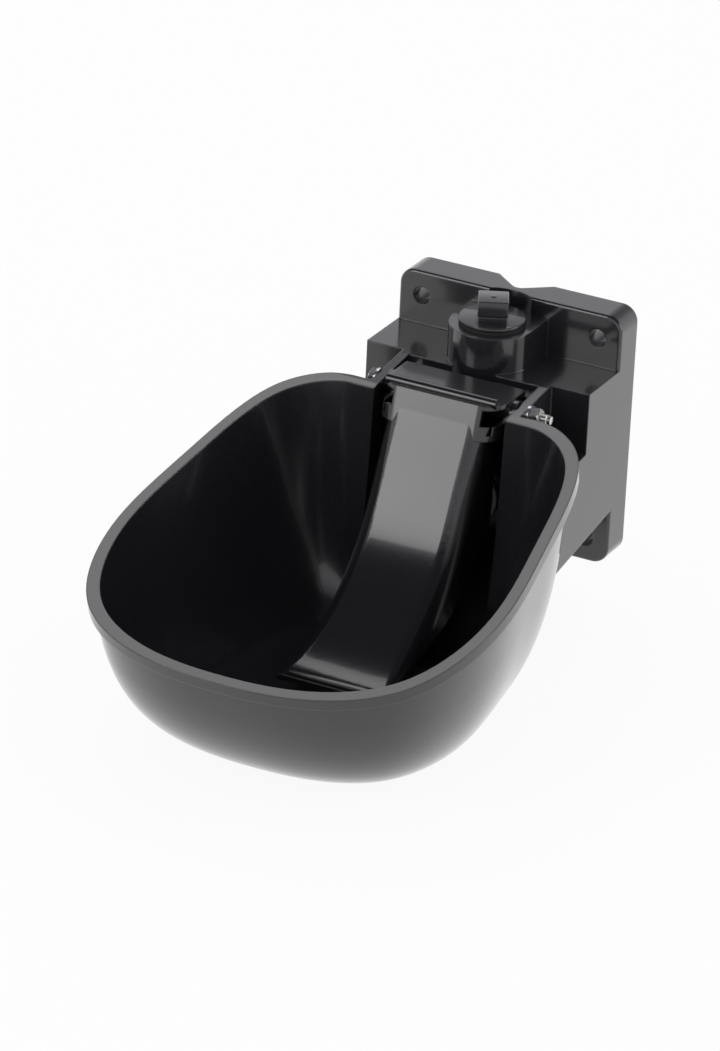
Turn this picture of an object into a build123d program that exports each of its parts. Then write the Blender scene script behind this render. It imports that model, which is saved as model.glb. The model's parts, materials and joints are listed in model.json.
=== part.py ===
from build123d import *
import os
from math import atan, cos

# A wall-mounted drinking bowl for cattle and horses. The animal pushes the tongue in the bowl, and the tongue
# pushes the stem of a spring-closed water valve in the wall bracket.
# Sizes are in millimetres. X runs along the wall, +Y points into the wall and Z is up. The origin is the centre
# of the four wall bolts, on the rear face of the mounting plate.

# Mounting plate
plate_width = 145.0
plate_height = 158.5
plate_depth = 22.0
plate_corner_radius = 10.0
plate_edge_radius = 2.0
plate_skin = 4.5
skirt = 4.0
rib = 3.0
rib_rows = 5
bolt_margin_x = 15.0
bolt_margin_z = 15.5
bolt_hole = 11.0
bolt_boss = 19.0
groove_half_width = 18.0
groove_depth = 15.0
groove_root_radius = 6.0
spine_half_width = 22.0

# Bracket between plate and bowl
shelf_drop = 33.5
shelf_depth = 39.0
bracket_wall = 4.5
pocket_depth = 38.0
pocket_floor_fall = 6.0
gusset_drop = 122.9
gusset_fall = 17.0

# Water boss: a vertical pipe bore with a thread insert at each end
bore_offset = 44.5
boss_radius = 25.5
collar_drop = 11.1
boss_bottom_drop = 151.0
scoop_clearance = 1.0
water_bore = 24.0
insert_diameter = 34.0
insert_length = 16.0
pipe_thread_bore = 24.12
strainer_thickness = 1.0
strainer_hole = 2.6
strainer_rings = ((3.6, 6), (7.2, 12), (10.8, 18))

# Neck: the channel that holds the tongue's hinge
neck_inner = 42.3
neck_wall = 6.0
neck_rear_face = 60.0
step_front = 66.0
step_drop = 5.0
ledge_reach = 8.0
ledge_thickness = 5.0
neck_floor_drop = 134.0
neck_floor_fall = 30.0
neck_floor_reach = 20.0
neck_end = 105.0

# Bowl
bowl_half_width = 119.3
bowl_front = 368.3
bowl_wall = 4.3
bowl_floor = 4.0
rim_drop = 10.5
rim_slope = 0.2625
bowl_depth = 114.0
bowl_centre = 236.0
bead = 2.7
bead_height = 7.0
# How far the wall draws in, at each share of the depth below the rim
wall_profile = ((0.0, 0.0), (0.40, 6.0), (0.74, 17.0), (0.93, 32.0), (1.0, 48.0))
front_draw = 1.35
rear_draw = 0.6
# Half the rim's outline from front to rear, as shares of its half width and of its length
outline_shape = ((0.50, 0.031), (0.80, 0.115), (0.955, 0.25), (1.0, 0.40), (0.944, 0.641), (0.872, 0.827),
                 (0.775, 0.927), (0.62, 0.985), (0.45, 1.0))

# Tongue, with its heights measured from the hinge
hinge_y = -90.5
hinge_drop = 41.25
tongue_half_width = 32.5
head_half_width = 38.4
tongue_skin = 3.5
tongue_corner = 11.0
head_corner = 13.0
head_fall = 12.0
head_rise = 8.0
head_rear = -76.0
lip_radius = 3.0
lip_y = -106.0
sleeve_diameter = 14.0
side_play = 0.4
window_fall = 3.5
window_rise = 5.5
window_inner = 28.5
window_rear = -97.0
# The front of the tongue below its head, down to its tip, as y and height above the hinge
head_front_top = -111.0
tongue_blade = ((-117.0, -10.0), (-126.5, -30.0), (-139.0, -57.0), (-152.0, -78.0), (-174.0, -99.0),
                (-212.0, -122.0), (-236.0, -126.0))
# Height of its side walls, at shares of the front's length
tongue_walls = ((0.06, 29.0), (0.20, 29.0), (0.36, 38.0), (0.49, 33.0), (0.65, 20.0), (0.87, 7.0), (1.0, 3.6))
web_y = -103.0
web_thickness = 4.0
web_up = 12.0
web_down = 8.0

# Hinge bolt, M6
bolt_diameter = 6.0
bolt_clearance = 0.1
hex_across_flats = 10.0
bolt_head_height = 4.0
nut_height = 6.0
nut_insert_height = 1.6
nut_insert_diameter = 8.4
washer_diameter = 12.0
washer_thickness = 1.6
bolt_end = 7.0

# Valve
valve_drop = 113.75
flange_diameter = 36.0
flange_thickness = 2.5
gasket_thickness = 1.0
barrel_diameter = 24.0
barrel_clearance = 0.05
chamber_diameter = 29.0
chamber_end = 27.0
chamber_start = 50.0
valve_front_wall = 5.5
outlet_chamber = 17.0
outlet_hole = 3.4
outlet_hole_circle = 7.0
outlet_holes = 6
cage_bore = 20.0
cage_end = -27.6
cage_window = 11.0
cage_ring = 3.4
seat_y = -45.0
seat_thickness = 4.0
seat_orifice = 9.0
fit_clearance = 0.05
guide_diameter = 9.0
guide_length = 9.5
stem_diameter = 6.0
stem_front = -80.0
stem_end_radius = 1.5
spigot_diameter = 4.0
disc_diameter = 15.0
disc_thickness = 3.0
holder_diameter = 14.0
holder_thickness = 2.0
holder_boss_diameter = 9.0
holder_boss_height = 1.5
spring_wire = 1.0
spring_radius = 5.6
spring_turns = 5
retainer_thickness = 1.2
retainer_hole = 8.0

# Thrust screw, M8
screw_diameter = 8.0
screw_gap = 0.1
screw_tip_radius = 8.0
screw_across_flats = 13.0
screw_head_height = 5.3
screw_front = -118.0
lock_nut_height = 5.0

# Top plug
plug_flange_diameter = 39.3
plug_flange_thickness = 2.5
plug_seal_thickness = 1.5
plug_square = 18.0
plug_neck_square = 16.5
plug_neck_height = 2.5
plug_head_height = 9.9
plug_turn = 26.0
plug_thread = 24.0
plug_reach = 13.0
seal_play = 0.3

plate_top = plate_height / 2
plate_front = -plate_depth
bolt_spacing_x = plate_width - 2 * bolt_margin_x
bolt_spacing_z = plate_height - 2 * bolt_margin_z
hinge_z = plate_top - hinge_drop
head_top = hinge_z + head_rise
head_bottom = hinge_z - head_fall
window_low = hinge_z - window_fall
window_high = hinge_z + window_rise
valve_z = plate_top - valve_drop
shelf_z = plate_top - shelf_drop
bracket_front = plate_front - shelf_depth
collar_z = plate_top - collar_drop
boss_bottom = plate_top - boss_bottom_drop
rim_z = plate_top - rim_drop
neck_outer = neck_inner + neck_wall
ledge_z = shelf_z - step_drop
ledge_underside = ledge_z - ledge_thickness
ledge_front = -step_front - ledge_reach
pocket_z = shelf_z - pocket_depth
gusset_z = plate_top - gusset_drop
gusset_end_z = gusset_z - gusset_fall
bracket_end = -neck_end - 3 * bowl_wall
neck_floor_z = plate_top - neck_floor_drop
neck_floor_end_z = neck_floor_z - neck_floor_fall
neck_floor_end = -neck_end - neck_floor_reach
gasket_front = -neck_rear_face - gasket_thickness
flange_front = gasket_front - flange_thickness
seat_front = seat_y - seat_thickness
outlet_front = flange_front + valve_front_wall
disc_rear = seat_y + disc_thickness
holder_rear = disc_rear + holder_thickness
retainer_front = cage_end - retainer_thickness
screw_tip = stem_front - screw_gap


def rim_height(y):
    """Height of the rim's sloping plane at y."""
    return rim_z + rim_slope * y


def level_plane(share, depth):
    """Plane of one level of the bowl: it turns from the rim's slope to level at the bottom."""
    slope = rim_slope * (1 - share) ** 1.25
    tilt = atan(slope)
    centre_z = rim_height(-bowl_centre) - share * depth
    return Plane(origin=(0, -bowl_centre, centre_z), x_dir=(1, 0, 0), z_dir=(0, -slope * cos(tilt), cos(tilt)))


def outline(half_width, front, rear, plane):
    """One closed outline of the bowl on a plane, from its half width and the y of its front and rear."""
    stretch = plane.z_dir.Z
    centre_front = (front + bowl_centre) / stretch
    length = (rear - front) / stretch
    right = [(half_width * across, centre_front + length * along) for across, along in outline_shape]
    left = [(-x, y) for x, y in reversed(right)]
    with BuildSketch(plane) as face:
        with BuildLine():
            curve = Spline(*left, (0, centre_front), *right)
            Line(curve @ 1, curve @ 0)
        make_face()
    return face.sketch


def bowl_solid(inset, depth, overlap):
    """The bowl's body: a loft through its levels, drawn in by inset all round and carried on above the rim."""
    levels = [
        outline(bowl_half_width - inset - draw, -bowl_front + inset + front_draw * draw,
                -neck_end - inset - rear_draw * draw, level_plane(share, depth)).face()
        for share, draw in wall_profile
    ]
    with BuildPart() as body:
        loft(levels)
        if overlap:
            extrude(body.faces().sort_by(Axis.Z)[-1], amount=overlap)
    return body.part


def side_profile(points):
    """A closed polygon in the YZ plane."""
    with BuildSketch(Plane.YZ) as face:
        with BuildLine():
            Polyline(*points, close=True)
        make_face()
    return face.sketch


def boss_plan(z):
    """Plan of the water boss at z: round in front, straight to the plate behind."""
    with BuildSketch(Plane.XY.offset(z)) as face:
        with Locations((0, -bore_offset)):
            Circle(boss_radius)
            Rectangle(2 * boss_radius, bore_offset - plate_depth + plate_edge_radius,
                      align=(Align.CENTER, Align.MIN))
    return face.sketch


def valve_face(y, outer, inner=0.0):
    """A disc or a ring about the valve's axis at y, facing the animal."""
    with BuildSketch(Plane.XZ.offset(-y)) as face:
        with Locations((0, valve_z)):
            Circle(outer / 2)
            if inner:
                Circle(inner / 2, mode=Mode.SUBTRACT)
    return face.sketch


def bore_face(z, outer, inner=0.0):
    """A disc or a ring about the pipe bore's axis at z."""
    with BuildSketch(Plane.XY.offset(z)) as face:
        with Locations((0, -bore_offset)):
            Circle(outer / 2)
            if inner:
                Circle(inner / 2, mode=Mode.SUBTRACT)
    return face.sketch


def hinge_face(x, outer, inner=0.0):
    """A disc or a ring about the hinge's axis at x."""
    with BuildSketch(Plane.YZ.offset(x)) as face:
        with Locations((hinge_y, hinge_z)):
            Circle(outer / 2)
            if inner:
                Circle(inner / 2, mode=Mode.SUBTRACT)
    return face.sketch


def hexagon(plane, x, y, across_flats, inner=0.0):
    """A hexagon face with an optional round hole, at x, y on a plane."""
    with BuildSketch(plane) as face:
        with Locations((x, y)):
            RegularPolygon(across_flats / 2, 6, major_radius=False)
            if inner:
                Circle(inner / 2, mode=Mode.SUBTRACT)
    return face.sketch


os.makedirs("parts", exist_ok=True)


def save(node, name):
    """Label a finished piece and write it."""
    node.part.label = name
    export_step(node.part, f"parts/{name}.step")


# The shell that joins plate and bowl: shelf, side pockets and gussets, open underneath
with BuildPart() as bracket:
    rear = plate_front + plate_edge_radius
    extrude(side_profile(((rear, shelf_z), (bracket_front, shelf_z), (bracket_front, pocket_z),
                          (bracket_end, pocket_z - pocket_floor_fall), (bracket_end, gusset_end_z),
                          (rear, gusset_z))), amount=plate_width / 2, both=True)
    inner_front = bracket_front + bracket_wall
    extrude(side_profile(((plate_front, shelf_z - bracket_wall), (inner_front, shelf_z - bracket_wall),
                          (inner_front, pocket_z - bracket_wall),
                          (2 * bracket_end, pocket_z - bracket_wall - pocket_floor_fall),
                          (2 * bracket_end, -plate_height), (plate_front, -plate_height))),
            amount=plate_width / 2 - bracket_wall, both=True, mode=Mode.SUBTRACT)

# Inside of the bowl and of the neck
with BuildPart() as cavity:
    add(bowl_solid(bowl_wall, bowl_depth - bowl_floor, bead_height))
    extrude(side_profile(((-step_front, shelf_z + step_drop), (-step_front, ledge_z), (ledge_front, ledge_z),
                          (ledge_front, ledge_underside), (-neck_rear_face, ledge_underside),
                          (-neck_rear_face, neck_floor_z), (neck_floor_end, neck_floor_end_z),
                          (neck_floor_end, shelf_z + step_drop))), amount=neck_inner, both=True)

with BuildPart() as bowl_body:
    # Plate, with a ribbed hollow on each side of its back
    with BuildSketch(Plane.XZ):
        RectangleRounded(plate_width, plate_height, plate_corner_radius)
    extrude(amount=plate_depth)
    fillet(bowl_body.faces().sort_by(Axis.Y)[0].edges(), plate_edge_radius)
    pocket_width = plate_width / 2 - skirt - spine_half_width
    pocket_centre = spine_half_width + pocket_width / 2
    with BuildSketch(Plane.XZ):
        with Locations((pocket_centre, 0), (-pocket_centre, 0)):
            RectangleRounded(pocket_width, plate_height - 2 * skirt, plate_corner_radius - skirt)
        with Locations((pocket_centre, 0), (-pocket_centre, 0)):
            Rectangle(rib, plate_height, mode=Mode.SUBTRACT)
        with GridLocations(0, plate_height / (rib_rows + 1), 1, rib_rows):
            Rectangle(plate_width, rib, mode=Mode.SUBTRACT)
        with GridLocations(bolt_spacing_x, bolt_spacing_z, 2, 2):
            Circle(bolt_boss / 2, mode=Mode.SUBTRACT)
    extrude(amount=plate_depth - plate_skin, mode=Mode.SUBTRACT)

    # Bracket, neck walls, water boss and bowl
    add(bracket)
    wall_rear = -neck_rear_face + bracket_wall
    extrude(side_profile(((wall_rear, shelf_z), (neck_floor_end, shelf_z),
                          (neck_floor_end, neck_floor_end_z - bracket_wall),
                          (wall_rear, neck_floor_z - bracket_wall))), amount=neck_outer, both=True)
    extrude(boss_plan(boss_bottom), amount=shelf_z - boss_bottom)
    add(bowl_solid(0, bowl_depth, 0))
    extrude(outline(bowl_half_width + bead, -bowl_front - bead, -neck_end + bead, level_plane(0, bowl_depth)),
            amount=-bead_height)

    # Everything above the rim and the neck's edge is open
    far = -2 * bowl_front
    extrude(side_profile(((-step_front, shelf_z), (-neck_end, rim_height(-neck_end)), (far, rim_height(far)),
                          (far, plate_height), (-step_front, plate_height))),
            amount=plate_width, both=True, mode=Mode.SUBTRACT)
    add(cavity, mode=Mode.SUBTRACT)

    # Collar of the boss, and the scoop above it that clears a pipe fitting
    extrude(boss_plan(ledge_underside), amount=collar_z - ledge_underside)
    extrude(bore_face(collar_z, 2 * (boss_radius + scoop_clearance)), amount=plate_height, mode=Mode.SUBTRACT)

    # Water ways: pipe bore with a seat for a thread insert at each end, and the valve's chamber
    extrude(bore_face(boss_bottom, water_bore), amount=collar_z - boss_bottom, mode=Mode.SUBTRACT)
    extrude(bore_face(collar_z, insert_diameter), amount=-insert_length, mode=Mode.SUBTRACT)
    extrude(bore_face(boss_bottom, insert_diameter), amount=insert_length + strainer_thickness,
            mode=Mode.SUBTRACT)
    extrude(valve_face(-chamber_start, barrel_diameter + 2 * barrel_clearance),
            amount=neck_rear_face - chamber_start, mode=Mode.SUBTRACT)
    extrude(valve_face(-chamber_end, chamber_diameter), amount=chamber_start - chamber_end, mode=Mode.SUBTRACT)

    # Groove for a post, wall bolts and hinge bolt
    with BuildSketch(Plane.XY.offset(-plate_height / 2)) as groove:
        with BuildLine():
            Polyline((-groove_half_width, 0), (0, -groove_depth), (groove_half_width, 0), close=True)
        make_face()
        fillet(groove.vertices().sort_by(Axis.Y)[0], groove_root_radius)
    extrude(amount=plate_height, mode=Mode.SUBTRACT)
    with BuildSketch(Plane.XZ):
        with GridLocations(bolt_spacing_x, bolt_spacing_z, 2, 2):
            Circle(bolt_hole / 2)
    extrude(amount=plate_depth, mode=Mode.SUBTRACT)
    extrude(hinge_face(0, bolt_diameter + bolt_clearance), amount=neck_outer, both=True, mode=Mode.SUBTRACT)
save(bowl_body, "bowl_body")

# Tongue: a trough open behind, with a wider head that turns on the hinge bolt
with BuildLine(Plane.YZ) as front_line:
    blade_points = [(y, hinge_z + rise) for y, rise in tongue_blade]
    front_curve = Spline((head_front_top, head_top), *blade_points)


def tongue_section(share, half_width, near, height, corner):
    """Section of the tongue square to its front: from near the front to the back of its side walls."""
    plane = Plane(origin=front_curve @ share, x_dir=(-1, 0, 0), z_dir=front_curve % share)
    with BuildSketch(plane) as face:
        with BuildLine():
            wall = FilletPolyline((-half_width, height), (-half_width, near), (half_width, near),
                                  (half_width, height), radius=corner)
            Line(wall @ 1, wall @ 0)
        make_face()
    return face.sketch.face()


def tongue_loft(inset, extra_height):
    """The blade of the tongue as a solid, drawn in by inset."""
    sections = [
        tongue_section(share, tongue_half_width - inset, inset, height + extra_height,
                       min(tongue_corner, height - 1) - inset * (height > 2 * tongue_corner))
        for share, height in tongue_walls
    ]
    with BuildPart() as blade:
        loft(sections)
    return blade.part


with BuildPart() as tongue:
    head_front_bottom = tongue_blade[0][0]
    extrude(side_profile(((head_rear, head_top), (head_front_top, head_top), (head_front_bottom, head_bottom),
                          (head_rear, head_bottom))), amount=head_half_width, both=True)
    front_edges = tongue.faces().sort_by(Axis.Y)[0].edges()
    fillet(front_edges.group_by(Axis.X)[0] + front_edges.group_by(Axis.X)[-1], head_corner)
    add(tongue_loft(0, 0))
    extrude(side_profile(((head_rear, head_top - tongue_skin), (head_front_top + tongue_skin, head_top - tongue_skin),
                          (head_front_bottom + tongue_skin, head_bottom + tongue_skin),
                          (head_rear, head_bottom + tongue_skin))),
            amount=head_half_width - tongue_skin, both=True, mode=Mode.SUBTRACT)
    add(tongue_loft(tongue_skin, 2 * tongue_skin), mode=Mode.SUBTRACT)
    extrude(side_profile(((web_y, valve_z + web_up), (web_y - web_thickness, valve_z + web_up),
                          (web_y - web_thickness, valve_z - web_down), (web_y, valve_z - web_down))),
            amount=tongue_half_width - tongue_skin / 2, both=True)
    extrude(valve_face(web_y, screw_diameter + 2 * fit_clearance), amount=web_thickness, mode=Mode.SUBTRACT)
    # Lip along the head's top edge, and the sleeve that turns on the bolt
    with BuildSketch(Plane.YZ):
        with Locations((lip_y, head_top + lip_radius - tongue_skin / 2)):
            Circle(lip_radius)
    extrude(amount=head_half_width - lip_radius, both=True)
    extrude(hinge_face(0, sleeve_diameter), amount=neck_inner - side_play, both=True)
    extrude(hinge_face(0, bolt_diameter + 2 * fit_clearance), amount=neck_inner, both=True, mode=Mode.SUBTRACT)
    # Windows round the two front corners of the head
    window_middle = (head_half_width + window_inner) / 2
    with BuildSketch(Plane.XY.offset(window_low)):
        with Locations((window_middle, window_rear), (-window_middle, window_rear)):
            Rectangle(head_half_width - window_inner + side_play, -neck_end - window_rear + 2 * head_front_top,
                      align=(Align.CENTER, Align.MAX))
    extrude(amount=window_high - window_low, mode=Mode.SUBTRACT)
save(tongue, "tongue")

with BuildPart() as tongue_thrust_screw:
    extrude(valve_face(screw_tip, screw_diameter), amount=screw_tip - screw_front)
    with Locations((0, screw_tip - screw_tip_radius, valve_z)):
        Sphere(screw_tip_radius, mode=Mode.INTERSECT)
    extrude(valve_face(screw_tip - screw_tip_radius, screw_diameter), amount=screw_tip - screw_tip_radius - screw_front)
    extrude(hexagon(Plane.XZ.offset(-screw_front), 0, valve_z, screw_across_flats), amount=screw_head_height)
save(tongue_thrust_screw, "tongue_thrust_screw")

with BuildPart() as thrust_lock_nut:
    extrude(hexagon(Plane.XZ.offset(-web_y), 0, valve_z, screw_across_flats, screw_diameter + 2 * fit_clearance),
            amount=-lock_nut_height)
save(thrust_lock_nut, "thrust_lock_nut")

# Hinge bolt with its washers and lock nut
washer_outer = neck_outer + washer_thickness
with BuildPart() as hinge_bolt:
    extrude(hinge_face(-washer_outer, bolt_diameter), amount=2 * washer_outer + nut_height + bolt_end)
    chamfer(hinge_bolt.faces().sort_by(Axis.X)[-1].edges(), bolt_diameter / 10)
    extrude(hexagon(Plane.YZ.offset(-washer_outer), hinge_y, hinge_z, hex_across_flats), amount=-bolt_head_height)
save(hinge_bolt, "hinge_bolt")

with BuildPart() as hinge_washers:
    washer_hole = bolt_diameter + 2 * fit_clearance
    extrude(hinge_face(neck_outer, washer_diameter, washer_hole), amount=washer_thickness)
    extrude(hinge_face(-neck_outer, washer_diameter, washer_hole), amount=-washer_thickness)
save(hinge_washers, "hinge_washers")

with BuildPart() as hinge_nut:
    extrude(hexagon(Plane.YZ.offset(washer_outer), hinge_y, hinge_z, hex_across_flats,
                    bolt_diameter + 2 * fit_clearance), amount=nut_height)
    extrude(hinge_face(washer_outer + nut_height, nut_insert_diameter), amount=-nut_insert_height,
            mode=Mode.SUBTRACT)
save(hinge_nut, "hinge_nut")

with BuildPart() as hinge_nut_insert:
    extrude(hinge_face(washer_outer + nut_height, nut_insert_diameter, bolt_diameter + 2 * fit_clearance),
            amount=-nut_insert_height)
save(hinge_nut_insert, "hinge_nut_insert")

# Top plug, its seal, and the brass thread inserts
with BuildPart() as top_plug:
    seal_top = collar_z + plug_seal_thickness
    flange_top = seal_top + plug_flange_thickness
    extrude(bore_face(seal_top, plug_flange_diameter), amount=plug_flange_thickness)
    extrude(bore_face(seal_top, plug_thread), amount=-plug_reach - plug_seal_thickness)
    with BuildSketch(Plane.XY.offset(flange_top)):
        with Locations(Location((0, -bore_offset, 0), (0, 0, plug_turn))):
            Rectangle(plug_neck_square, plug_neck_square)
    extrude(amount=plug_neck_height)
    with BuildSketch(Plane.XY.offset(flange_top + plug_neck_height)):
        with Locations(Location((0, -bore_offset, 0), (0, 0, plug_turn))):
            Rectangle(plug_square, plug_square)
    extrude(amount=plug_head_height)
save(top_plug, "top_plug")

with BuildPart() as top_plug_seal:
    extrude(bore_face(collar_z, plug_flange_diameter, plug_thread + 2 * seal_play), amount=plug_seal_thickness)
save(top_plug_seal, "top_plug_seal")

with BuildPart() as upper_thread_insert:
    extrude(bore_face(collar_z, insert_diameter, pipe_thread_bore), amount=-insert_length)
save(upper_thread_insert, "upper_thread_insert")

with BuildPart() as lower_thread_insert:
    extrude(bore_face(boss_bottom, insert_diameter, pipe_thread_bore), amount=insert_length)
save(lower_thread_insert, "lower_thread_insert")

with BuildPart() as inlet_strainer:
    extrude(bore_face(boss_bottom + insert_length, insert_diameter), amount=strainer_thickness)
    with BuildSketch(Plane.XY.offset(boss_bottom + insert_length)):
        with Locations((0, -bore_offset)):
            Circle(strainer_hole / 2)
            for radius, count in strainer_rings:
                with PolarLocations(radius, count):
                    Circle(strainer_hole / 2)
    extrude(amount=strainer_thickness, mode=Mode.SUBTRACT)
save(inlet_strainer, "inlet_strainer")

# Valve, from the flange in the neck to the spring at the rear
with BuildPart() as valve_body:
    extrude(valve_face(gasket_front, flange_diameter), amount=flange_thickness)
    extrude(valve_face(cage_end, barrel_diameter), amount=cage_end - gasket_front)
    extrude(valve_face(cage_end, cage_bore), amount=cage_end - seat_front, mode=Mode.SUBTRACT)
    extrude(valve_face(seat_front, outlet_chamber), amount=seat_front - outlet_front, mode=Mode.SUBTRACT)
    extrude(valve_face(outlet_front, guide_diameter), amount=valve_front_wall, mode=Mode.SUBTRACT)
    with BuildSketch(Plane.XZ.offset(-outlet_front)):
        with Locations((0, valve_z)):
            with PolarLocations(outlet_hole_circle, outlet_holes):
                Circle(outlet_hole / 2)
    extrude(amount=valve_front_wall, mode=Mode.SUBTRACT)
    with BuildSketch(Plane.XZ.offset(cage_ring - cage_end)):
        with Locations((0, valve_z)):
            Rectangle(cage_window, 2 * barrel_diameter)
            Rectangle(2 * barrel_diameter, cage_window)
    extrude(amount=disc_rear - cage_ring - seat_y, mode=Mode.SUBTRACT)
save(valve_body, "valve_body")

with BuildPart() as valve_gasket:
    extrude(valve_face(-neck_rear_face, flange_diameter, barrel_diameter + 2 * seal_play), amount=gasket_thickness)
save(valve_gasket, "valve_gasket")

with BuildPart() as valve_seat:
    extrude(valve_face(seat_y, cage_bore, seat_orifice), amount=seat_thickness)
save(valve_seat, "valve_seat")

with BuildPart() as stem_guide:
    extrude(valve_face(flange_front + guide_length, guide_diameter, stem_diameter + 2 * fit_clearance),
            amount=guide_length)
save(stem_guide, "stem_guide")

with BuildPart() as valve_stem:
    extrude(valve_face(seat_y, stem_diameter), amount=seat_y - stem_front)
    fillet(valve_stem.faces().sort_by(Axis.Y)[0].edges(), stem_end_radius)
    extrude(valve_face(holder_rear + holder_boss_height, spigot_diameter),
            amount=holder_rear + holder_boss_height - seat_y)
save(valve_stem, "valve_stem")

with BuildPart() as valve_disc:
    extrude(valve_face(disc_rear, disc_diameter, spigot_diameter), amount=disc_thickness)
save(valve_disc, "valve_disc")

with BuildPart() as disc_holder:
    extrude(valve_face(holder_rear, holder_diameter, spigot_diameter), amount=holder_thickness)
    extrude(valve_face(holder_rear + holder_boss_height, holder_boss_diameter, spigot_diameter),
            amount=holder_boss_height)
save(disc_holder, "disc_holder")

with BuildPart() as valve_spring:
    coil_length = retainer_front - holder_rear - spring_wire
    with BuildLine():
        coil = Helix(pitch=coil_length / spring_turns, height=coil_length, radius=spring_radius,
                     center=(0, holder_rear + spring_wire / 2, valve_z), direction=(0, 1, 0))
    with BuildSketch(Plane(origin=coil @ 0, z_dir=coil % 0)):
        Circle(spring_wire / 2)
    sweep(path=coil, is_frenet=True)
save(valve_spring, "valve_spring")

with BuildPart() as spring_retainer:
    extrude(valve_face(cage_end, cage_bore, retainer_hole), amount=retainer_thickness)
save(spring_retainer, "spring_retainer")
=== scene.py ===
# %% [markdown]
# # Dressing a livestock drinking bowl
# The part is a deep black plastic bowl on a wall plate. An animal pushes the tongue in the bowl, and the
# tongue opens a water valve in the bracket. The construction is loaded as a fixed frame. This lesson gives it
# its finishes, models the small pieces that need finer shapes, and sets up a studio to look at it.

# %% Load the frame
import bpy
import json
import math
from mathutils import Matrix, Vector


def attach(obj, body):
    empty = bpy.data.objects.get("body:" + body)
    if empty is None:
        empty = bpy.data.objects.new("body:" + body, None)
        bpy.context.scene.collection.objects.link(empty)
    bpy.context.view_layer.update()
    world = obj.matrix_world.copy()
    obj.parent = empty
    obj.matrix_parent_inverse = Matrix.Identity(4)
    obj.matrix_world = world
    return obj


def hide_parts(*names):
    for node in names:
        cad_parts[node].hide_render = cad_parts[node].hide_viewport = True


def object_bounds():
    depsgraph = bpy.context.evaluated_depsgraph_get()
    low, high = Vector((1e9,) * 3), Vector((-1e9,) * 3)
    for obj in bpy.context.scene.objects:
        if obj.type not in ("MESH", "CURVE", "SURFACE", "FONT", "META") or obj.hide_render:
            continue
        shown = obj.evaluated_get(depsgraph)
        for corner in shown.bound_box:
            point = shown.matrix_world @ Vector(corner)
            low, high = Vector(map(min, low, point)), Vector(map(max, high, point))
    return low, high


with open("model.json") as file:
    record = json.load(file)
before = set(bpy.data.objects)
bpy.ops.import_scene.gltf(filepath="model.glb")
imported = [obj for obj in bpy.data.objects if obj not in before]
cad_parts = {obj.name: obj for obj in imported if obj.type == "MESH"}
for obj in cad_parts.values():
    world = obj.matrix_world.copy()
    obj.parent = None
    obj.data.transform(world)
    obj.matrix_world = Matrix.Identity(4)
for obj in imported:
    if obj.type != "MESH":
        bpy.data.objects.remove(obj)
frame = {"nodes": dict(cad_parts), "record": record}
cad_low, cad_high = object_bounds()
print("frame nodes:", len(frame["nodes"]), "size in mm:", [round(1000 * v) for v in cad_high - cad_low])

# %% [markdown]
# Colours are easiest to pick as the hex values that a paint program shows. Those are sRGB, and the shader
# wants linear light, so one function turns them. Patterns are set by a real size: a noise texture's scale is
# the number of its features in a metre, which is one over the feature's size. A material is a handful of
# nodes, so one function adds a node and sets or links whatever it is given.

# %% Colour, pattern size and node helpers
MM = 0.001


def linear(hex_colour):
    """An sRGB hex colour as the linear RGBA that shaders use, by the sRGB standard's curve."""
    channels = [int(hex_colour[i:i + 2], 16) / 255 for i in (1, 3, 5)]
    return (*[c / 12.92 if c <= 0.04045 else ((c + 0.055) / 1.055) ** 2.4 for c in channels], 1.0)


def per_metre(size_mm):
    """Texture scale that makes one feature this many millimetres long."""
    return 1 / (size_mm * MM)


def add(tree, kind, inputs=None, stops=(), **settings):
    """Add one shader node with its settings, set or link its inputs, and place a colour ramp's stops."""
    made = tree.nodes.new(kind)
    for name, value in settings.items():
        setattr(made, name, value)
    for name, value in (inputs or {}).items():
        if isinstance(value, bpy.types.NodeSocket):
            tree.links.new(value, made.inputs[name])
        else:
            made.inputs[name].default_value = value
    while stops and len(made.color_ramp.elements) < len(stops):
        made.color_ramp.elements.new(0.5)
    for number, (position, colour) in enumerate(stops):
        made.color_ramp.elements[number].position = position
        made.color_ramp.elements[number].color = linear(colour)
    return made


def new_material(name):
    """An empty material, with its tree and its output."""
    material = bpy.data.materials.new(name)
    material.use_nodes = True
    tree = material.node_tree
    tree.nodes.clear()
    return material, tree, add(tree, "ShaderNodeOutputMaterial")


# %% [markdown]
# The bowl is injection-moulded nylon or polypropylene, coloured black through and through. A polished mould
# leaves a glossy skin, so what the eye sees is mostly reflection. Three things stop it from looking like a
# mirror: a very faint orange peel a few millimetres across, a slow drift in gloss where the plastic cooled,
# and fine dust and handling marks that scatter a little light. A mould also leaves no sharp edge. Every
# corner is rounded by about a millimetre, and that rounding draws the thin bright lines round the rim. The
# frame's corners are sharp and stay as they are, so a bevel node turns the normals there.

# %% Moulded plastic
PLASTIC_IOR = 1.53
SKIN_GLOSS = 0.55
SKIN_ROUGHNESS = 0.07
CORNER_SAMPLES = 6
DRIFT_MM = 60
DUST_MM = 0.9
DUST_STARTS, DUST_FULL = 0.35, 0.75
PEEL_STRENGTH = 0.35
PEEL_DEPTH_MM = 0.012


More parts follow.
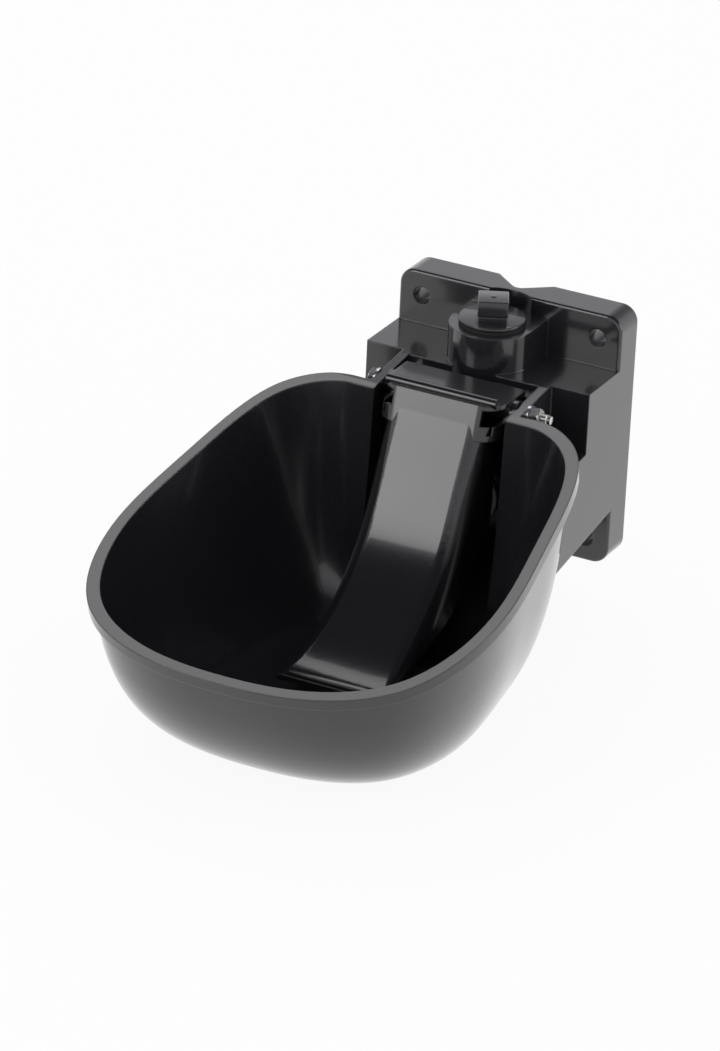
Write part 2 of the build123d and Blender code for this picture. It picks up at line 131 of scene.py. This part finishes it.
def moulded_plastic(name, clean, dusty, smooth, rough, edge_mm, peel_mm=4.0):
    """Glossy moulded plastic: colour from clean to dusty, and roughness from smooth to rough."""
    material, tree, out = new_material(name)
    place = add(tree, "ShaderNodeTexCoord").outputs["Object"]
    corner = add(tree, "ShaderNodeBevel", {"Radius": edge_mm * MM}, samples=CORNER_SAMPLES)
    drift = add(tree, "ShaderNodeTexNoise", {"Vector": place, "Scale": per_metre(DRIFT_MM), "Detail": 3.0})
    dust = add(tree, "ShaderNodeTexNoise", {"Vector": place, "Scale": per_metre(DUST_MM), "Detail": 4.0})
    peel = add(tree, "ShaderNodeTexNoise", {"Vector": place, "Scale": per_metre(peel_mm), "Detail": 1.0})
    colour = add(tree, "ShaderNodeValToRGB", {"Fac": dust.outputs["Fac"]},
                 stops=[(DUST_STARTS, clean), (DUST_FULL, dusty)])
    gloss = add(tree, "ShaderNodeMapRange",
                {"Value": drift.outputs["Fac"], "To Min": smooth, "To Max": rough})
    bump = add(tree, "ShaderNodeBump", {"Height": peel.outputs["Fac"], "Strength": PEEL_STRENGTH,
                                        "Distance": PEEL_DEPTH_MM * MM, "Normal": corner.outputs["Normal"]})
    shader = add(tree, "ShaderNodeBsdfPrincipled",
                 {"Base Color": colour.outputs["Color"], "Roughness": gloss.outputs["Result"],
                  "Normal": bump.outputs["Normal"], "IOR": PLASTIC_IOR,
                  "Coat Weight": SKIN_GLOSS, "Coat Roughness": SKIN_ROUGHNESS})
    tree.links.new(shader.outputs["BSDF"], out.inputs["Surface"])
    return material


bowl_black = moulded_plastic("moulded_black_nylon", clean="#19191b", dusty="#28282b",
                             smooth=0.12, rough=0.24, edge_mm=1.3)
tongue_black = moulded_plastic("moulded_black_tongue", clean="#101012", dusty="#1d1d20",
                               smooth=0.16, rough=0.28, edge_mm=0.9)
plug_black = moulded_plastic("moulded_black_plug", clean="#17171a", dusty="#26262b",
                             smooth=0.26, rough=0.38, edge_mm=0.5, peel_mm=2.0)
print("plastics:", bowl_black.name, tongue_black.name, plug_black.name)

# %% [markdown]
# Bright zinc on the hinge bolt is a thin plated layer over turned steel: nearly white metal, with a faint
# blue to yellow tint from the passivation and a roughness that changes from spot to spot. Brass and stainless
# steel keep their lathe marks, and nickel plating follows the marks under it. Such marks are too fine to see
# one by one, so they are drawn here as a grain of 0.4 to 0.6 mm, in the roughness and in very low bumps.

# %% Metals
NOISE_LOW, NOISE_HIGH = 0.3, 0.7
TINT_MM = 5
MARK_STRENGTH = 0.4


def turned_metal(name, dark, light, smooth, rough, mark_mm, bump_mm):
    """Turned or plated metal, with marks of a given size in its roughness and its bumps."""
    material, tree, out = new_material(name)
    place = add(tree, "ShaderNodeTexCoord").outputs["Object"]
    tint = add(tree, "ShaderNodeTexNoise", {"Vector": place, "Scale": per_metre(TINT_MM), "Detail": 3.0})
    marks = add(tree, "ShaderNodeTexNoise", {"Vector": place, "Scale": per_metre(mark_mm), "Detail": 5.0})
    colour = add(tree, "ShaderNodeValToRGB", {"Fac": tint.outputs["Fac"]},
                 stops=[(NOISE_LOW, dark), (NOISE_HIGH, light)])
    gloss = add(tree, "ShaderNodeMapRange",
                {"Value": marks.outputs["Fac"], "To Min": smooth, "To Max": rough})
    bump = add(tree, "ShaderNodeBump", {"Height": marks.outputs["Fac"], "Strength": MARK_STRENGTH,
                                        "Distance": bump_mm * MM})
    shader = add(tree, "ShaderNodeBsdfPrincipled",
                 {"Base Color": colour.outputs["Color"], "Roughness": gloss.outputs["Result"],
                  "Normal": bump.outputs["Normal"], "Metallic": 1.0})
    tree.links.new(shader.outputs["BSDF"], out.inputs["Surface"])
    return material


bright_zinc = turned_metal("bright_zinc_plate", "#c3c7cb", "#dedcd2",
                           smooth=0.18, rough=0.38, mark_mm=0.6, bump_mm=0.01)
stainless = turned_metal("turned_stainless_steel", "#a9a8a4", "#c4c3bf",
                         smooth=0.22, rough=0.40, mark_mm=0.4, bump_mm=0.008)
machined_brass = turned_metal("machined_brass", "#b08d45", "#cfae62",
                              smooth=0.20, rough=0.36, mark_mm=0.4, bump_mm=0.008)
nickel_plated = turned_metal("nickel_plated_brass", "#a8a69f", "#c6c4bb",
                             smooth=0.24, rough=0.42, mark_mm=0.5, bump_mm=0.008)
print("metals:", bright_zinc.name, stainless.name, machined_brass.name, nickel_plated.name)

# %% [markdown]
# Natural nylon is milky and slightly waxy. Nitrile rubber is black, with a powdery bloom that makes it look
# flat. Neither mirrors its surroundings, so a fine grain in the colour and the roughness is all they need.

# %% Nylon and rubber
def soft_polymer(name, dark, light, smooth, rough, grain_mm):
    """A matt polymer with a fine grain."""
    material, tree, out = new_material(name)
    place = add(tree, "ShaderNodeTexCoord").outputs["Object"]
    grain = add(tree, "ShaderNodeTexNoise", {"Vector": place, "Scale": per_metre(grain_mm), "Detail": 4.0})
    colour = add(tree, "ShaderNodeValToRGB", {"Fac": grain.outputs["Fac"]},
                 stops=[(NOISE_LOW, dark), (NOISE_HIGH, light)])
    gloss = add(tree, "ShaderNodeMapRange",
                {"Value": grain.outputs["Fac"], "To Min": smooth, "To Max": rough})
    shader = add(tree, "ShaderNodeBsdfPrincipled",
                 {"Base Color": colour.outputs["Color"], "Roughness": gloss.outputs["Result"]})
    tree.links.new(shader.outputs["BSDF"], out.inputs["Surface"])
    return material


milky_nylon = soft_polymer("natural_nylon", "#c9c5b8", "#dcd9ce", smooth=0.35, rough=0.5, grain_mm=1.5)
nitrile_rubber = soft_polymer("nitrile_rubber", "#121212", "#232322", smooth=0.6, rough=0.8, grain_mm=0.8)
print("polymers:", milky_nylon.name, nitrile_rubber.name)

# %% [markdown]
# The frame's record gives each node a slot, such as brass or nylon. The finishes stand in one table by slot,
# so that no node is missed and a new piece can ask for the same finish as the node that it replaces. One node
# differs from its slot: the valve's brass body is nickel plated, and looks like steel through the gap beside
# the tongue.

# %% Give every node its finish
FINISHES = {
    "body_plastic": bowl_black,
    "tongue_plastic": tongue_black,
    "plug_plastic": plug_black,
    "zinc_steel": bright_zinc,
    "stainless_steel": stainless,
    "brass": machined_brass,
    "nylon": milky_nylon,
    "seal_rubber": nitrile_rubber,
}
for entry in frame["record"]["subparts"]:
    mesh = frame["nodes"][entry["node"]].data
    mesh.materials.clear()
    mesh.materials.append(FINISHES[entry["material_slot"]])
frame["nodes"]["valve_body"].data.materials[0] = nickel_plated

# %% [markdown]
# Four small pieces need finer shapes than the frame has. Each starts from a primitive at its real place and
# size, and is cut, bevelled or wound as the real one is made. The places where the hinge and the plug meet
# the frame are read from the frame, so that the pieces fit it.

# %% Measure the frame
def in_mm(metres):
    """A length in millimetres, to a thousandth."""
    return round(metres / MM, 3)


def reach(node, axis):
    """Where a node of the frame starts and ends along an axis, in millimetres."""
    places = [vertex.co[axis] for vertex in frame["nodes"][node].data.vertices]
    return in_mm(min(places)), in_mm(max(places))


X, Y, Z = range(3)
hinge = next(joint for joint in frame["record"]["behaviour"]["joints"] if joint["name"] == "tongue_hinge")
inlet = next(mount for mount in frame["record"]["mounts"] if mount["name"] == "water_inlet")
hinge_y, hinge_z = in_mm(hinge["pos_m"][Y]), in_mm(hinge["pos_m"][Z])
bore_y = in_mm(inlet["pos_m"][Y])
print("hinge at y, z in mm:", hinge_y, hinge_z, "and the water bore at y:", bore_y)

# %% [markdown]
# Steel and plastic parts share a few steps: a cylinder between two points, a rounded edge and a cut. The
# bevel and boolean modifiers do them as cleanly as edit mode does, and they are applied at once, so the
# mesh itself holds the shape that shows.

# %% Cylinders, rounded edges and cuts
SHARP_EDGE = math.radians(40)
ROUND_SIDES = 64


def rod(radius_mm, low, high, vertices=ROUND_SIDES):
    """A cylinder between two points, given in millimetres along one axis."""
    bpy.ops.object.select_all(action="DESELECT")
    run = Vector(high) - Vector(low)
    bpy.ops.mesh.primitive_cylinder_add(vertices=vertices, radius=radius_mm * MM, depth=run.length * MM,
                                        location=(Vector(low) + Vector(high)) / 2 * MM,
                                        rotation=run.to_track_quat("Z", "Y").to_euler())
    return bpy.context.object


def bevelled(piece, width_mm, segments=3):
    """Round every sharp edge of a piece."""
    soften = piece.modifiers.new("rounded_edges", "BEVEL")
    soften.width = width_mm * MM
    soften.segments = segments
    soften.limit_method = "ANGLE"
    soften.angle_limit = SHARP_EDGE
    bpy.context.view_layer.objects.active = piece
    bpy.ops.object.modifier_apply(modifier=soften.name)


def cut(piece, tool, operation):
    """Cut a piece with another, which is used up."""
    knife = piece.modifiers.new("cut", "BOOLEAN")
    knife.object = tool
    knife.operation = operation
    knife.solver = "EXACT"
    bpy.context.view_layer.objects.active = piece
    bpy.ops.object.modifier_apply(modifier=knife.name)
    bpy.data.objects.remove(tool, do_unlink=True)


# %% [markdown]
# A finished piece sits at the origin with its place in its mesh, as the frame's own pieces do. It then rides
# on a body, takes the finish of a slot, and hides any node of the frame that it shows in finer shape.

# %% Finish a piece
SMOOTH_BELOW = math.radians(35)


def finish_piece(name, body, slot, pieces, *nodes):
    """Join the parts of a piece, set it at the origin, hang it on its body and hide the nodes that it stands
    for.
    """
    bpy.ops.object.select_all(action="DESELECT")
    for part in pieces:
        part.select_set(True)
    bpy.context.view_layer.objects.active = pieces[0]
    if len(pieces) > 1:
        bpy.ops.object.join()
    bpy.ops.object.transform_apply(location=True, rotation=True, scale=True)
    bpy.ops.object.shade_smooth_by_angle(angle=SMOOTH_BELOW)
    whole = bpy.context.object
    whole.name = name
    whole.data.materials.clear()
    whole.data.materials.append(FINISHES[slot])
    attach(whole, body)
    if nodes:
        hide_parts(*nodes)
    print(name, "faces:", len(whole.data.polygons))


# %% [markdown]
# The tongue turns on a bolt that goes through both sides of the neck, and a locking nut holds it on the
# right. A hexagon nut is turned before it is tapped, and the turning takes its corners off in a cone. That
# leaves the curved lines on its flats. A bevel on the hexagon would cut its corners straight, so the hexagon
# is cut by a cylinder with chamfered ends, which gives the curves. The bore is as wide as the nylon ring in
# the nut's outer end, and the ring covers it.

# %% Hinge nut
OVERLAP = 1.0
CONE_MM = 0.75
RING_RADIUS = 4.2
HALF_FLAT_ANGLE = math.radians(30)

left_washer, right_washer = reach("hinge_washers", X)
nut_end = reach("hinge_nut", X)[1]
nut_bottom, nut_top = reach("hinge_nut", Z)


def on_hinge(x):
    """The point of the hinge's axis at x."""
    return (x, hinge_y, hinge_z)


def chamfered_hexagon(low_x, high_x):
    """A hexagon along the hinge with its corners turned off at both ends."""
    corner = (nut_top - nut_bottom) / 2 / math.cos(HALF_FLAT_ANGLE)
    hexagon = rod(corner, on_hinge(low_x), on_hinge(high_x), vertices=6)
    turned = rod(corner, on_hinge(low_x), on_hinge(high_x))
    bevelled(turned, CONE_MM, segments=1)
    cut(hexagon, turned, "INTERSECT")
    return hexagon


nut = chamfered_hexagon(right_washer, nut_end)
cut(nut, rod(RING_RADIUS, on_hinge(right_washer - OVERLAP), on_hinge(nut_end + OVERLAP)), "DIFFERENCE")
finish_piece("lock_nut_body", "bowl", "zinc_steel", [nut], "hinge_nut")

# %% [markdown]
# The bolt's thread is rolled: a ridge with a pitch of 1 mm winds round a thinner core. Lines drawn in a
# material would leave the outline straight, so the ridge is modelled. A small triangle stands on the core,
# and the screw modifier winds it round the hinge's axis.

# %% Thread of the hinge bolt
THREAD_START = 49.0
THREAD_PITCH = 1.0
THREAD_CORE = 2.55
THREAD_DEPTH = 0.45
STEPS_IN_TURN = 24
END_CHAMFER = 0.5

bolt_start, bolt_end = reach("hinge_bolt", X)
thread_turns = int(bolt_end - THREAD_START - THREAD_PITCH)
head = chamfered_hexagon(bolt_start, left_washer)
shank = rod(THREAD_CORE, on_hinge(left_washer - OVERLAP), on_hinge(bolt_end))
bevelled(shank, END_CHAMFER, segments=2)
bpy.ops.object.select_all(action="DESELECT")
bpy.ops.mesh.primitive_circle_add(vertices=3, radius=THREAD_DEPTH * MM, fill_type="NOTHING",
                                  location=Vector((THREAD_START, hinge_y, hinge_z + THREAD_CORE)) * MM,
                                  rotation=(math.radians(90), 0, 0))
ridge = bpy.context.object
bpy.context.scene.cursor.location = Vector(on_hinge(THREAD_START)) * MM
bpy.ops.object.transform_apply(location=False, rotation=True, scale=True)
bpy.ops.object.origin_set(type="ORIGIN_CURSOR")
winding = ridge.modifiers.new("winding", "SCREW")
winding.axis = "X"
winding.angle = math.tau
winding.screw_offset = THREAD_PITCH * MM
winding.iterations = thread_turns
winding.steps = winding.render_steps = STEPS_IN_TURN
bpy.ops.object.modifier_apply(modifier=winding.name)
print("turns of thread:", thread_turns, "faces:", len(ridge.data.polygons))

# %% [markdown]
# The wound ridge is open at its two ends. Only those edges belong to a single face, so they can be selected
# by that and filled. The screw may leave the faces inside out, so their normals are recalculated.

# %% Close the thread and join the bolt
bpy.ops.object.mode_set(mode="EDIT")
bpy.ops.mesh.select_all(action="DESELECT")
bpy.ops.mesh.select_non_manifold()
bpy.ops.mesh.fill()
bpy.ops.mesh.select_all(action="SELECT")
bpy.ops.mesh.normals_make_consistent(inside=False)
bpy.ops.object.mode_set(mode="OBJECT")
finish_piece("threaded_hinge_bolt", "bowl", "zinc_steel", [shank, head, ridge], "hinge_bolt")

# %% [markdown]
# The plug closes the top of the water bore. It is moulded: a thin round flange on the seal, and above it a
# square head for a spanner, a little wider than the neck under it. The small round pip on top is where the
# plastic flowed into the mould. Blocks and cylinders sunk a little into each other give the shape, and the
# ones that show have their own rounding, from a fifth of a millimetre to nearly one, that catches light.

# %% Square-headed plug
PLUG_FOOT = 55.2
FLANGE_TOP, HEAD_FOOT = 72.15, 74.65
STEM_RADIUS, FLANGE_RADIUS = 11.9, 19.65
NECK_SIDE, HEAD_SIDE = 16.5, 18.0
PIP_RADIUS, PIP_RISE = 1.7, 0.4
PLUG_TURN = math.radians(26)
SUNK = 0.5

seal_top = reach("top_plug_seal", Z)[1]
head_top = reach("top_plug", Z)[1]


def on_bore(z):
    """The point of the water bore's axis at z."""
    return (0, bore_y, z)


def square_block(side, low_z, high_z):
    """A square block about the bore's axis, turned as the plug's head is."""
    bpy.ops.object.select_all(action="DESELECT")
    bpy.ops.mesh.primitive_cube_add(size=1, location=Vector(on_bore((low_z + high_z) / 2)) * MM,
                                    rotation=(0, 0, PLUG_TURN),
                                    scale=Vector((side, side, high_z - low_z)) * MM)
    bpy.ops.object.transform_apply(location=False, rotation=False, scale=True)
    return bpy.context.object


plug_stem = rod(STEM_RADIUS, on_bore(PLUG_FOOT), on_bore(seal_top + OVERLAP))
flange = rod(FLANGE_RADIUS, on_bore(seal_top), on_bore(FLANGE_TOP), vertices=2 * ROUND_SIDES)
bevelled(flange, width_mm=0.6)
plug_neck = square_block(NECK_SIDE, FLANGE_TOP - SUNK, HEAD_FOOT + SUNK)
bevelled(plug_neck, width_mm=0.5)
plug_head = square_block(HEAD_SIDE, HEAD_FOOT, head_top)
bevelled(plug_head, width_mm=0.9, segments=4)
pip = rod(PIP_RADIUS, on_bore(head_top - SUNK), on_bore(head_top + PIP_RISE), vertices=ROUND_SIDES // 2)
bevelled(pip, width_mm=0.2)
finish_piece("square_plug", "bowl", "plug_plastic", [flange, plug_stem, plug_neck, plug_head, pip],
             "top_plug")

# %% [markdown]
# A low band is moulded across the tongue's tip, to stiffen the edge that the muzzle presses. It follows the
# slope of the tip, stands about a millimetre proud and ends in rounded corners. The tongue's own mesh stays
# as it is, so the band is a thin block half sunk into it.

# %% Band across the tongue's tip
TIP_POINT = Vector((0, -230.5, -87.2))
TIP_SLOPE = math.radians(8.2)
BAND_SIZE = Vector((54, 5.5, 2.6))

bpy.ops.object.select_all(action="DESELECT")
bpy.ops.mesh.primitive_cube_add(size=1, location=TIP_POINT * MM, rotation=(TIP_SLOPE, 0, 0),
                                scale=BAND_SIZE * MM)
bpy.ops.object.transform_apply(location=False, rotation=False, scale=True)
band = bpy.context.object
bevelled(band, width_mm=0.9, segments=4)
finish_piece("tongue_tip_band", "tongue", "tongue_plastic", [band])

# %% [markdown]
# The camera stands where the photographer stood: about 3.5 metres away with a long lens, 27 degrees to the
# right of the bowl and 25 degrees above it, and turned a little about its own axis. Its three axes are worked
# out from those angles, because a constraint that tracks a target can't keep the turn.

# %% Camera
CAMERA_PLACE = Vector((1.3595, -2.9207, 1.41935))
CAMERA_AZIMUTH = math.radians(26.584)
CAMERA_ELEVATION = math.radians(25.036)
CAMERA_ROLL = math.radians(2.686)
LENS_MM = 203.2
SENSOR_MM = 36
SIGHT_METRES = 50

back = Vector((math.sin(CAMERA_AZIMUTH) * math.cos(CAMERA_ELEVATION),
               -math.cos(CAMERA_AZIMUTH) * math.cos(CAMERA_ELEVATION), math.sin(CAMERA_ELEVATION)))
level_right = Vector((math.cos(CAMERA_AZIMUTH), math.sin(CAMERA_AZIMUTH), 0))
level_up = back.cross(level_right)
right = math.cos(CAMERA_ROLL) * level_right + math.sin(CAMERA_ROLL) * level_up
up = back.cross(right)
bpy.ops.object.camera_add()
camera = bpy.context.object
camera.matrix_world = Matrix.Translation(CAMERA_PLACE) @ Matrix((right, up, back)).transposed().to_4x4()
camera.data.lens = LENS_MM
camera.data.sensor_width = SENSOR_MM
camera.data.clip_end = SIGHT_METRES
bpy.context.scene.camera = camera
print("camera distance in metres:", round(CAMERA_PLACE.length, 2))

# %% [markdown]
# The picture is a catalogue shot on white. Black gloss shows only what it mirrors, so what the plastic sees
# of the room matters more than the lamps. The light path tells apart two kinds of ray: those that see the
# room, from the camera or by way of a mirror or glass, and those that only carry soft light. The first kind
# sees a white room with a grey ceiling, and the second gets an even light that doesn't wash the black out.

# %% Rays that see the room
def seen_directly(tree):
    """One for rays from the camera, a mirror or clear glass, and zero for rays that carry soft light."""
    rays = add(tree, "ShaderNodeLightPath").outputs
    mirror = add(tree, "ShaderNodeMath", {0: rays["Is Camera Ray"], 1: rays["Is Glossy Ray"]},
                 operation="MAXIMUM")
    glass = add(tree, "ShaderNodeMath", {0: mirror.outputs[0], 1: rays["Is Transmission Ray"]},
                operation="MAXIMUM")
    return glass.outputs[0]


# %% [markdown]
# The bowl stands on a sheet of white paper. Lit paper alone would come out grey at the picture's edges, and a
# glowing sheet alone would lose the bowl's shadow. So the sheet mostly glows for the rays that see it, and
# the rest of it is plain paper that takes the shadow.

# %% Paper floor
FLOOR_DROP = 0.0005
FLOOR_METRES = 12
PAPER_GLOW = 0.93

bpy.ops.mesh.primitive_plane_add(size=FLOOR_METRES, location=(0, 0, cad_low.z - FLOOR_DROP))
floor = bpy.context.object
floor.name = "studio_floor"

floor_white, tree, out = new_material("white_paper_floor")
paper = add(tree, "ShaderNodeBsdfDiffuse", {"Color": linear("#f4f4f4")})
glow = add(tree, "ShaderNodeEmission", {"Color": linear("#ffffff"), "Strength": 1.0})
shown = add(tree, "ShaderNodeMath", {0: seen_directly(tree), 1: PAPER_GLOW}, operation="MULTIPLY")
sheet = add(tree, "ShaderNodeMixShader", {"Fac": shown.outputs[0], 1: paper.outputs[0], 2: glow.outputs[0]})
tree.links.new(sheet.outputs[0], out.inputs["Surface"])
floor.data.materials.append(floor_white)
print("floor:", floor_white.name, "at height in mm:", in_mm(floor.location.z))

# %% [markdown]
# Seen from the bowl, the room is white from the horizon down, pale a little above it, and turns to a dark
# grey ceiling higher up. The inside of the bowl mirrors that ceiling, so it stays dark. The colour follows
# the height of the direction that a ray looks in. Soft light comes evenly from a pale grey all round.

# %% Room with a grey ceiling
CEILING = [(0.0, "#ffffff"), (0.34, "#f2f2f8"), (0.62, "#54545f"), (1.0, "#464650")]
SOFT_LIGHT = 0.85

world = bpy.data.worlds.new("studio_room")
bpy.context.scene.world = world
world.use_nodes = True
room = world.node_tree
room.nodes.clear()
direction = add(room, "ShaderNodeTexCoord").outputs["Generated"]
height = add(room, "ShaderNodeSeparateXYZ", {"Vector": direction}).outputs["Z"]
wall = add(room, "ShaderNodeValToRGB", {"Fac": height}, stops=CEILING)
seen = add(room, "ShaderNodeBackground", {"Color": wall.outputs["Color"], "Strength": 1.0})
around = add(room, "ShaderNodeBackground", {"Color": linear("#e4e4e8"), "Strength": SOFT_LIGHT})
mix = add(room, "ShaderNodeMixShader", {"Fac": seen_directly(room), 1: around.outputs[0],
                                        2: seen.outputs[0]})
add(room, "ShaderNodeOutputWorld", {"Surface": mix.outputs[0]})
print("room colours by height:", len(CEILING))

# %% [markdown]
# Three lamps as large as windows draw the pale streaks on the tongue and the rim, because gloss shows a lamp
# in its own shape. They stand at the front left, at the back left and at the right, and their power is low,
# so the bowl's outside only grows a little lighter towards them.

# %% Soft boxes
bowl_middle = (cad_low + cad_high) / 2


def soft_box(name, place, size, watts):
    """A rectangular lamp at place that faces the bowl's middle, in metres."""
    bpy.ops.object.light_add(type="AREA", location=place)
    lamp = bpy.context.object
    lamp.name = name
    lamp.data.shape = "RECTANGLE"
    lamp.data.size, lamp.data.size_y = size
    lamp.data.energy = watts
    lamp.rotation_euler = (bowl_middle - Vector(place)).to_track_quat("-Z", "Y").to_euler()
    print(name, "watts:", watts)


soft_box("front_left_box", place=(-1.2, -2.2, 0.9), size=(0.9, 1.4), watts=13)
soft_box("back_left_box", place=(-1.0, 1.1, 1.8), size=(1.6, 1.0), watts=8)
soft_box("right_box", place=(2.2, 0.8, 0.7), size=(1.0, 1.4), watts=12)

# %% [markdown]
# The Standard view shows each colour as it was picked. The default view softens bright tones, and would turn
# the white paper grey.

# %% Colours as written
bpy.context.scene.view_settings.view_transform = "Standard"
print("view:", bpy.context.scene.view_settings.view_transform)

# %% [markdown]
# Last, the view layer is brought up to date.

bpy.context.view_layer.update()
